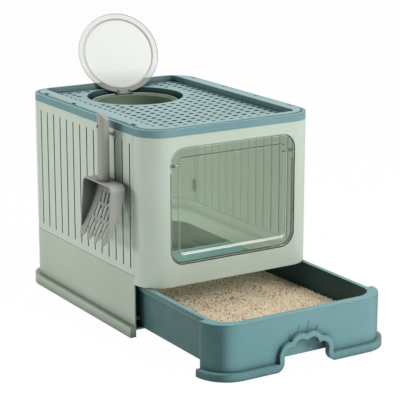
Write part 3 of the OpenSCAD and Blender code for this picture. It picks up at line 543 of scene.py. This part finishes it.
# %% Make the clear finishes
# The window's bright and line tones are painted highlights, on the lower slope and along the edges; the lid's line
# tone is painted shade along its edges.
WINDOW = ((172, 190, 166), (250, 252, 250), (246, 250, 244))
WINDOW_SHARES = (0.11, 0.34, 0.45)
LID = ((140, 144, 138), (250, 252, 246), (84, 88, 84))
LID_SHARES = (0.05, 0.42, 0.65)
clear_door = clear_plastic("clear_window", (246, 250, 244), WINDOW, WINDOW_SHARES, 0.10, 0.0014, catch=step_light)
milky_lid = clear_plastic("milky_lid", (250, 251, 249), LID, LID_SHARES, 0.16, 0.0020, milk=lid_middle)
print("See-through finishes:", clear_door.name, milky_lid.name)

# %% [markdown]
# ## Pin steel
# The hinge pins are bright drawn wire. A Metallic of 1 with an even gloss would do from afar, but drawing leaves
# faint lines along the wire, which show as gloss that changes across it. So the noise is stretched along the
# pins, which lie nearly sideways in the box.

# %% Make the steel
WIRE_SCALE = 700.0
WIRE_STRETCH = (0.05, 1.0, 1.0)
WIRE_GLOSS = 0.22
WIRE_GLOSS_DRIFT = 0.16


def drawn_steel():
    finish = Finish("drawn_steel")
    lines = finish.grain(WIRE_SCALE, 2.0, stretch=WIRE_STRETCH)
    bright = finish.blend(lines, linear(176, 178, 180), linear(206, 208, 210))
    sockets = {"Base Color": bright, "Metallic": 1.0, "Roughness": WIRE_GLOSS + lines * WIRE_GLOSS_DRIFT}
    return finish.surface(finish.add("ShaderNodeBsdfPrincipled", {}, sockets))


steel = drawn_steel()
print("Metal finish:", steel.name)

# %% [markdown]
# ## Dress the CAD parts
# Each part of the real box is one moulding in one colour, so one finish per part is enough. A material could be
# put in the mesh, but a CAD part keeps its packed mesh, and the finish goes on the object's own slots instead.

# %% Put the finishes on
FINISH_OF = {
    "base_frame": base, "front_frame": front, "back_panel": far_side,
    "side_panel_left": sage, "side_panel_right": far_side, "litter_guard": far_side,
    "seam_clips_front": sage, "seam_clips_rear": sage,
    "top_frame": teal, "step_plate": treads, "drawer": tray,
    "top_clips_left": teal, "top_clips_right": teal,
    "entry_collar": collar, "scoop": grey, "scoop_peg": sage,
    "front_door": clear_door, "top_lid": milky_lid,
    "lid_hinge_pin": steel, "door_hinge_pins": steel,
}
for part, material in FINISH_OF.items():
    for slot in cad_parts[part].material_slots:
        slot.link = "OBJECT"
        slot.material = material
print(len(FINISH_OF), "CAD parts dressed")

# %% [markdown]
# ## The lip of the collar
# A thin pale ring stands round the mouth of the collar, open at the hinge so that the lid can swing. The CAD
# collar has a plain flange there. The ring could be cut from a torus, but a small profile carried round an arc
# gives it a flat inner wall and keeps both of its ends.

# %% Size the lip
HINGE_TURN = math.radians(77.0)
HINGE_GAP = math.radians(12.0)
LIP_STEPS = 120
LIP_PROFILE = ((0.0877, 0.3829), (0.0892, 0.3829), (0.0892, 0.3854), (0.0890, 0.3860), (0.0879, 0.3860),
               (0.0877, 0.3858))
print("Lip thickness, mm:", round((LIP_PROFILE[1][0] - LIP_PROFILE[0][0]) * 1000, 1))


# %% Build the lip
def build_lip():
    """The profile, as radius and height, carried round the well from one side of the hinge to the other."""
    mesh = bmesh.new()
    rows = []
    for step in range(LIP_STEPS + 1):
        angle = HINGE_TURN + HINGE_GAP + (math.tau - 2.0 * HINGE_GAP) * step / LIP_STEPS
        across = (math.cos(angle), math.sin(angle))
        rows.append([mesh.verts.new((WELL_MIDDLE[0] + across[0] * radius, WELL_MIDDLE[1] + across[1] * radius, z))
                     for radius, z in LIP_PROFILE])
    count = len(LIP_PROFILE)
    for first, second in zip(rows, rows[1:]):
        for here in range(count):
            after = (here + 1) % count
            mesh.faces.new((first[here], second[here], second[after], first[after]))
    mesh.faces.new(rows[0])
    mesh.faces.new(list(reversed(rows[-1])))
    bmesh.ops.recalc_face_normals(mesh, faces=mesh.faces)
    data = bpy.data.meshes.new("collar_lip")
    mesh.to_mesh(data)
    mesh.free()
    return data


collar_lip = bpy.data.objects.new("collar_lip", build_lip())
bpy.context.scene.collection.objects.link(collar_lip)
collar_lip.data.materials.append(lip)
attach(collar_lip, "body")
print("Lip:", len(collar_lip.data.polygons), "faces")

# %% [markdown]
# ## Litter
# The drawer holds a bed of crushed plant litter. In CAD it is one block with low swells, which MuJoCo needs.
# The block could be subdivided and displaced, but its skirt and floor would move too. Here a finer bed follows
# the block's own top, found by rays from above, with small ripples added. It stays a little below the block,
# because granules lie on it.

# %% Read the litter block
FOOT_HEIGHT = 0.0004
RIM_DISTANCE = 0.1
RAY_START = 0.05


def foot_outline(part):
    """The corners round the underside of a CAD block, in order round its middle."""
    corners = {tuple(round(value, 5) for value in vertex.co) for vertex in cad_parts[part].data.vertices}
    low = min(corner[2] for corner in corners)
    rim = [Vector(corner) for corner in corners if corner[2] - low < FOOT_HEIGHT]
    middle = sum(rim, Vector()) / len(rim)
    outer = [corner for corner in rim if (corner - middle).length > RIM_DISTANCE]
    return middle, sorted(outer, key=lambda corner: math.atan2(corner.y - middle.y, corner.x - middle.x))


def block_top(part):
    """A function that gives the height of a CAD block's top over a point."""
    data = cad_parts[part].data
    tree = BVHTree.FromPolygons([vertex.co for vertex in data.vertices], [face.vertices for face in data.polygons])
    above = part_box(part)[1][2] + RAY_START

    def height(x, y):
        hit = tree.ray_cast(Vector((x, y, above)), Vector((0.0, 0.0, -1.0)))[0]
        return None if hit is None else hit.z

    return height


bed_middle, bed_rim = foot_outline("litter_bed")
bed_height = block_top("litter_bed")
bed_low, bed_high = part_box("litter_bed")
print(len(bed_rim), "corners round the bed, highest at", round(bed_high[2] * 1000, 1), "mm")


# %% Make the litter finishes
TONES = [(0.0, linear(104, 84, 62)), (0.07, linear(160, 132, 102)), (0.14, linear(226, 208, 176)),
         (0.55, linear(243, 231, 204)), (0.90, linear(248, 240, 224)), (1.0, linear(240, 214, 176))]
DUST = linear(198, 176, 146)
SPECK_SCALE = 1400.0
SPECK_HEIGHT = 0.0003
SPECK_STRENGTH = 0.5
LITTER_GLOSS = 0.86
LITTER_GLOSS_DRIFT = 0.1


def litter_finish(name, lowest, highest):
    """Crushed plant litter: every granule has its own tone, from dark husk to pale meal, under some dust."""
    finish = Finish(name)
    tone = finish.add("ShaderNodeAttribute", {"attribute_name": "tone"}, {}, "Fac")
    tint = finish.add("ShaderNodeValToRGB", {"stops": TONES}, {"Fac": tone}, "Color")
    speck = finish.grain(SPECK_SCALE, 2.0)
    coat = finish.blend(speck * (highest - lowest) + lowest, tint, DUST)
    rough = finish.add("ShaderNodeBump", {}, {"Strength": SPECK_STRENGTH, "Distance": SPECK_HEIGHT,
                                              "Height": speck})
    sockets = {"Base Color": coat, "Roughness": LITTER_GLOSS + speck * LITTER_GLOSS_DRIFT, "Normal": rough}
    return finish.surface(finish.add("ShaderNodeBsdfPrincipled", {}, sockets))


granule_skin = litter_finish("litter_granules", 0.0, 0.25)
bed_skin = litter_finish("litter_under", 0.3, 0.9)
print("Litter finishes:", granule_skin.name, bed_skin.name)

# %% Shape the uneven top
RINGS = 46
SINK = 0.0012
RIPPLE = 0.0010
RIPPLE_SCALE = 24.0
RIPPLE_SLICE = 8.0
WALL_STEP = 0.0010


def ring_point(corner, ring):
    """A point on the bed's top: the block's own height, sunk a little and rippled."""
    share = 1.0 - ring / RINGS
    point = bed_middle.lerp(corner, share)
    inward = (bed_middle - point).normalized() * (WALL_STEP if ring < RINGS else 0.0)
    height = bed_height(point.x + inward.x, point.y + inward.y)
    ripple = noise.noise(Vector((point.x * RIPPLE_SCALE, point.y * RIPPLE_SCALE, RIPPLE_SLICE)))
    point.z = height - SINK + RIPPLE * ripple
    return point


print("Bed at the middle, mm:", round(ring_point(bed_middle, RINGS).z * 1000, 2))


# %% Build the bed
def build_bed():
    """A closed bed: rings of quads on top, a skirt down the tray's wall and a flat underside."""
    mesh = bmesh.new()
    rings = [[mesh.verts.new(ring_point(corner, ring)) for corner in bed_rim] for ring in range(RINGS)]
    centre = mesh.verts.new(ring_point(bed_middle, RINGS))
    count = len(bed_rim)
    for outer, inner in zip(rings, rings[1:]):
        for here in range(count):
            after = (here + 1) % count
            mesh.faces.new((outer[here], outer[after], inner[after], inner[here]))
    for here in range(count):
        mesh.faces.new((rings[-1][here], rings[-1][(here + 1) % count], centre))
    top_faces = len(mesh.faces)
    foot = [mesh.verts.new((vertex.co.x, vertex.co.y, bed_low[2])) for vertex in rings[0]]
    for here in range(count):
        after = (here + 1) % count
        mesh.faces.new((rings[0][after], rings[0][here], foot[here], foot[after]))
    mesh.faces.new(list(reversed(foot)))
    data = bpy.data.meshes.new("litter_heap")
    mesh.to_mesh(data)
    mesh.free()
    return data, top_faces


print("Rings of quads in the bed:", RINGS)

# %% Put the bed in the drawer
BED_TONE = 0.35
BED_TONE_SPREAD = 0.3
BED_TONE_SCALE = 300.0

bed_mesh, top_count = build_bed()
bed = bpy.data.objects.new("litter_heap", bed_mesh)
bpy.context.scene.collection.objects.link(bed)
bed_mesh.materials.append(bed_skin)
tone = bed_mesh.attributes.new("tone", "FLOAT", "POINT")
for index, vertex in enumerate(bed_mesh.vertices):
    tone.data[index].value = BED_TONE + BED_TONE_SPREAD * noise.noise(vertex.co * BED_TONE_SCALE)
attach(bed, "drawer_body")
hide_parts("litter_bed")
print("Bed:", len(bed_mesh.polygons), "faces,", top_count, "of them on top")


# %% [markdown]
# ## Granules
# On the real object the litter is a few litres of crushed plant meal, in grains of 2 to 4 mm. The tree takes a
# patch of the bed's top, strews points on it with a fixed seed, puts a small ico sphere of 20 faces on each
# with a random turn and size, and stores a random tone that the finish reads. A particle system could strew
# them too, but the tree keeps its sizes as named inputs. It ends in Realize Instances and Set Material, and the
# result is kept as a plain mesh. The part in front of the box is open to view, so it is strewn more densely.

# %% Cut the bed's top into patches
def top_patch(name, keep):
    """A copy of the bed's top faces whose middle passes the test."""
    mesh = bmesh.new()
    mesh.from_mesh(bed_mesh)
    mesh.faces.ensure_lookup_table()
    spare = [face for face in mesh.faces if face.index >= top_count or not keep(face.calc_center_median())]
    bmesh.ops.delete(mesh, geom=spare, context="FACES")
    data = bpy.data.meshes.new(name)
    mesh.to_mesh(data)
    mesh.free()
    return data


FRONT_LINE = -0.095
PATCHES = {
    "granules_front_left": lambda middle: middle.y < FRONT_LINE and middle.x < bed_middle.x,
    "granules_front_right": lambda middle: middle.y < FRONT_LINE and middle.x >= bed_middle.x,
    "granules_rear": lambda middle: middle.y >= FRONT_LINE,
}
print("Patches of litter:", list(PATCHES))


# %% Open a tree with named inputs
STREW_INPUTS = {"Density": "NodeSocketFloat", "Granule radius": "NodeSocketFloat",
                "Seed": "NodeSocketInt", "Skin": "NodeSocketMaterial"}
SMALLEST = (0.7, 0.45, 0.4)
LARGEST = (2.0, 1.1, 0.8)
FIRST_SEED = 11


def open_tree(name, inputs):
    """A Geometry Nodes tree from mesh to mesh, with its named inputs."""
    tree = bpy.data.node_groups.new(name, "GeometryNodeTree")
    face = tree.interface
    face.new_socket("Geometry", in_out="INPUT", socket_type="NodeSocketGeometry")
    for label, kind in inputs.items():
        face.new_socket(label, in_out="INPUT", socket_type=kind)
    face.new_socket("Geometry", in_out="OUTPUT", socket_type="NodeSocketGeometry")
    return tree


def socket_id(tree, label):
    """The identifier by which a modifier knows the input with this label."""
    return next(item.identifier for item in tree.interface.items_tree
                if item.name == label and item.in_out == "INPUT")


print("Inputs of the tree:", list(STREW_INPUTS))


# %% Build the strewing tree
def strew_tree():
    """Points on faces, one granule on each, tones, realised and painted."""
    tree = open_tree("strew_granules", STREW_INPUTS)
    new, join = tree.nodes.new, tree.links.new
    start, end = new("NodeGroupInput"), new("NodeGroupOutput")
    points = new("GeometryNodeDistributePointsOnFaces")
    join(start.outputs["Geometry"], points.inputs["Mesh"])
    join(start.outputs["Density"], points.inputs["Density"])
    join(start.outputs["Seed"], points.inputs["Seed"])
    granule = new("GeometryNodeMeshIcoSphere")
    granule.inputs["Subdivisions"].default_value = 1
    join(start.outputs["Granule radius"], granule.inputs["Radius"])
    turn, spread, shade = (new("FunctionNodeRandomValue") for _ in range(3))
    turn.data_type = spread.data_type = "FLOAT_VECTOR"
    turn.inputs["Max"].default_value = (math.tau, math.tau, math.tau)
    spread.inputs["Min"].default_value = SMALLEST
    spread.inputs["Max"].default_value = LARGEST
    for order, node in enumerate((turn, spread, shade)):
        node.inputs["Seed"].default_value = FIRST_SEED + order
    place = new("GeometryNodeInstanceOnPoints")
    join(points.outputs["Points"], place.inputs["Points"])
    join(granule.outputs["Mesh"], place.inputs["Instance"])
    join(turn.outputs[0], place.inputs["Rotation"])
    join(spread.outputs[0], place.inputs["Scale"])
    store = new("GeometryNodeStoreNamedAttribute")
    store.domain = "INSTANCE"
    store.inputs["Name"].default_value = "tone"
    join(place.outputs["Instances"], store.inputs["Geometry"])
    join(shade.outputs[1], store.inputs["Value"])
    real, paint = new("GeometryNodeRealizeInstances"), new("GeometryNodeSetMaterial")
    join(store.outputs["Geometry"], real.inputs["Geometry"])
    join(real.outputs["Geometry"], paint.inputs["Geometry"])
    join(start.outputs["Skin"], paint.inputs["Material"])
    join(paint.outputs["Geometry"], end.inputs["Geometry"])
    return tree


strew = strew_tree()
print("Strewing tree:", len(strew.nodes), "nodes")

# %% Strew the granules
GRANULE_RADIUS = 0.0021
FRONT_DENSITY = 150000.0
REAR_DENSITY = 70000.0


def strewn(name, keep, density, seed):
    """One patch of granules as a plain mesh, with its modifier gone."""
    patch = bpy.data.objects.new(name + "_patch", top_patch(name + "_patch", keep))
    bpy.context.scene.collection.objects.link(patch)
    modifier = patch.modifiers.new("strew", "NODES")
    modifier.node_group = strew
    for label, value in (("Density", density), ("Granule radius", GRANULE_RADIUS), ("Seed", seed),
                         ("Skin", granule_skin)):
        modifier[socket_id(strew, label)] = value
    graph = bpy.context.evaluated_depsgraph_get()
    data = bpy.data.meshes.new_from_object(patch.evaluated_get(graph))
    data.name = name
    bpy.data.objects.remove(patch)
    granules = bpy.data.objects.new(name, data)
    bpy.context.scene.collection.objects.link(granules)
    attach(granules, "drawer_body")
    return granules


for seed, (name, keep) in enumerate(PATCHES.items()):
    density = REAR_DENSITY if name.endswith("rear") else FRONT_DENSITY
    heaped = strewn(name, keep, density, seed)
    print(name, len(heaped.data.polygons), "faces")

# %% [markdown]
# ## Floor, world and lamps
# The picture is a cut-out on white. A white floor that the camera sees partly as its own light stays white and
# still keeps the shadow of the box. A dome picture could light it all, but no file is read here, so there are
# three lamps: a wide one high in front on the right, the widest one over the top, and a small one low on the
# left and behind, which throws the scoop's shadow forwards on the side panel.

# %% Make the floor's finish
GLOW_SHARE = 0.985
PAPER_SCALE = 3.0
PAPER_DARK = (0.90, 0.90, 0.90, 1.0)
PAPER_LIGHT = (0.94, 0.94, 0.94, 1.0)
WHITE = (1.0, 1.0, 1.0, 1.0)


def white_floor():
    finish = Finish("studio_floor")
    path = {name: finish.add("ShaderNodeLightPath", output=name)
            for name in ("Is Camera Ray", "Is Glossy Ray", "Is Transmission Ray")}
    seen = path["Is Camera Ray"] + path["Is Glossy Ray"] + path["Is Transmission Ray"]
    dust = finish.grain(PAPER_SCALE, 2.0)
    paper = finish.blend(dust, PAPER_DARK, PAPER_LIGHT)
    lit = finish.add("ShaderNodeBsdfDiffuse", {}, {"Color": paper})
    glow = finish.add("ShaderNodeEmission", {}, {"Color": WHITE, "Strength": 1.0})
    return finish.surface(finish.add("ShaderNodeMixShader", {}, {0: seen * GLOW_SHARE, 1: lit, 2: glow}))


print("Share of the floor that the camera sees as white:", GLOW_SHARE)

# %% Lay the floor
FLOOR_REACH = 40.0
CORNERS = [(-FLOOR_REACH, -FLOOR_REACH, 0.0), (FLOOR_REACH, -FLOOR_REACH, 0.0),
           (FLOOR_REACH, FLOOR_REACH, 0.0), (-FLOOR_REACH, FLOOR_REACH, 0.0)]

sheet = bpy.data.meshes.new("studio_floor")
sheet.from_pydata(CORNERS, [], [(0, 1, 2, 3)])
sheet.materials.append(white_floor())
floor = bpy.data.objects.new("studio_floor", sheet)
bpy.context.scene.collection.objects.link(floor)
print("Floor", FLOOR_REACH * 2, "m wide")


# %% Fill the world
AMBIENT = 0.15


def white_world():
    """White to the camera and in glossy and clear plastic, and a faint grey light on everything else."""
    world = bpy.data.worlds.new("white_world")
    world.use_nodes = True
    nodes, links = world.node_tree.nodes, world.node_tree.links
    nodes.clear()
    path = nodes.new("ShaderNodeLightPath")
    level = nodes.new("ShaderNodeMapRange")
    level.inputs["To Min"].default_value = AMBIENT
    level.inputs["To Max"].default_value = 1.0
    sky = nodes.new("ShaderNodeBackground")
    out = nodes.new("ShaderNodeOutputWorld")
    seen = path.outputs["Is Camera Ray"]
    for ray in ("Is Glossy Ray", "Is Transmission Ray"):
        either = nodes.new("ShaderNodeMath")
        either.operation = "MAXIMUM"
        links.new(seen, either.inputs[0])
        links.new(path.outputs[ray], either.inputs[1])
        seen = either.outputs[0]
    links.new(seen, level.inputs["Value"])
    links.new(level.outputs["Result"], sky.inputs["Strength"])
    links.new(sky.outputs["Background"], out.inputs["Surface"])
    return world


bpy.context.scene.world = white_world()
bpy.context.scene.view_settings.view_transform = "Standard"
print("World level:", AMBIENT)

# %% Hang the lamps
LAMPS = {
    "front_softbox": ((1.4, -2.7, 2.0), (0.0, -0.15, 0.25), 1.4, 76.0),
    "top_softbox": ((-0.2, 0.1, 3.0), (0.0, 0.0, 0.3), 2.4, 54.0),
    "left_lamp": ((-1.95, 0.80, 0.62), (-0.2, -0.05, 0.3), 0.30, 14.0),
}
for name, (place, aim, width, power) in LAMPS.items():
    lamp_data = bpy.data.lights.new(name, "AREA")
    lamp_data.shape = "SQUARE"
    lamp_data.size = width
    lamp_data.energy = power
    lamp = bpy.data.objects.new(name, lamp_data)
    lamp.location = place
    lamp.rotation_euler = (Vector(aim) - Vector(place)).to_track_quat("-Z", "Y").to_euler()
    bpy.context.scene.collection.objects.link(lamp)
    print(name, power, "W, size", width, "m")
